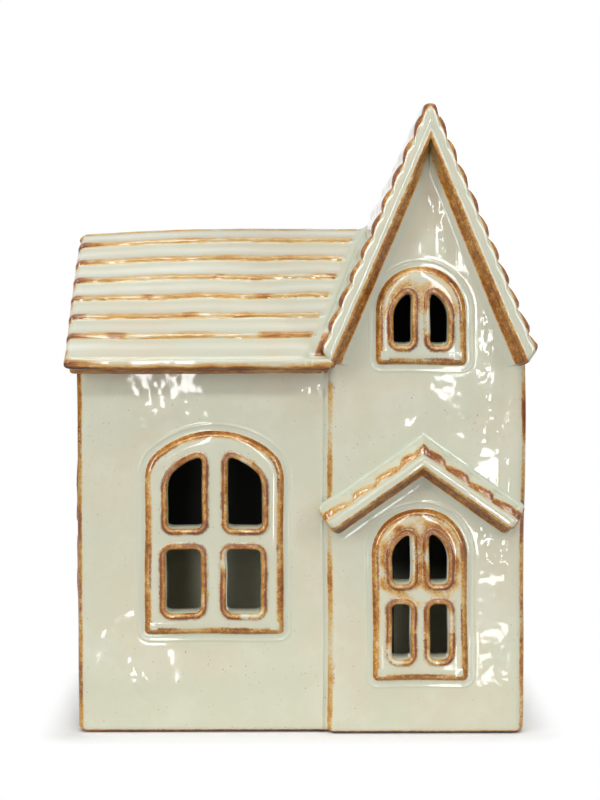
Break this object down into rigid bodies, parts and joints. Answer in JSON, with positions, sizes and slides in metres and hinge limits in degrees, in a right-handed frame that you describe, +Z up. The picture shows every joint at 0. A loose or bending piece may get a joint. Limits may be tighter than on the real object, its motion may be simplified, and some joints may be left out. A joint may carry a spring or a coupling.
{
  "type": "tealight house",
  "caption": "Glazed stoneware house with a gabled wing, arched windows and planked roofs, open at the back so that a tealight slides in and shines out through the panes.",
  "frame": {"origin": "middle of the footprint of the whole part, on the surface that it stands on", "axes": "+Z up, +Y from the front with the windows to the back with the opening, +X to the viewer's right, where the gabled wing is"},
  "size_m": [0.1494, 0.108, 0.2],
  "materials": {
    "glazed_stoneware": "glossy celadon-cream glaze that breaks to orange-brown on the edges",
    "cup_aluminium": "bright drawn foil",
    "wax": "white candle wax, slightly waxy sheen",
    "wick": "waxed cotton",
    "wick_tab_tin": "tinned sheet"
  },
  "bodies": {
    "house": {"base_slab": "glazed_stoneware", "left_wall": "glazed_stoneware", "right_wall": "glazed_stoneware", "main_front_wall": "glazed_stoneware", "wing_front_wall": "glazed_stoneware", "back_wall": "glazed_stoneware", "main_roof_front": "glazed_stoneware", "main_roof_back": "glazed_stoneware", "gable_roof_left": "glazed_stoneware", "gable_roof_right": "glazed_stoneware", "porch_canopy_left": "glazed_stoneware", "porch_canopy_right": "glazed_stoneware", "main_window_surround": "glazed_stoneware", "gable_window_surround": "glazed_stoneware", "door_window_surround": "glazed_stoneware", "left_window_surround": "glazed_stoneware", "right_window_surround": "glazed_stoneware"},
    "tealight": {"tealight_cup": "cup_aluminium", "tealight_wax": "wax", "tealight_wick": "wick", "tealight_wick_tab": "wick_tab_tin"}
  },
  "joints": [
    {"name": "tealight_slide", "type": "slide", "parent": "house", "child": "tealight", "axis": [0, 1, 0], "range_m": [0, 0.12]}
  ]
}
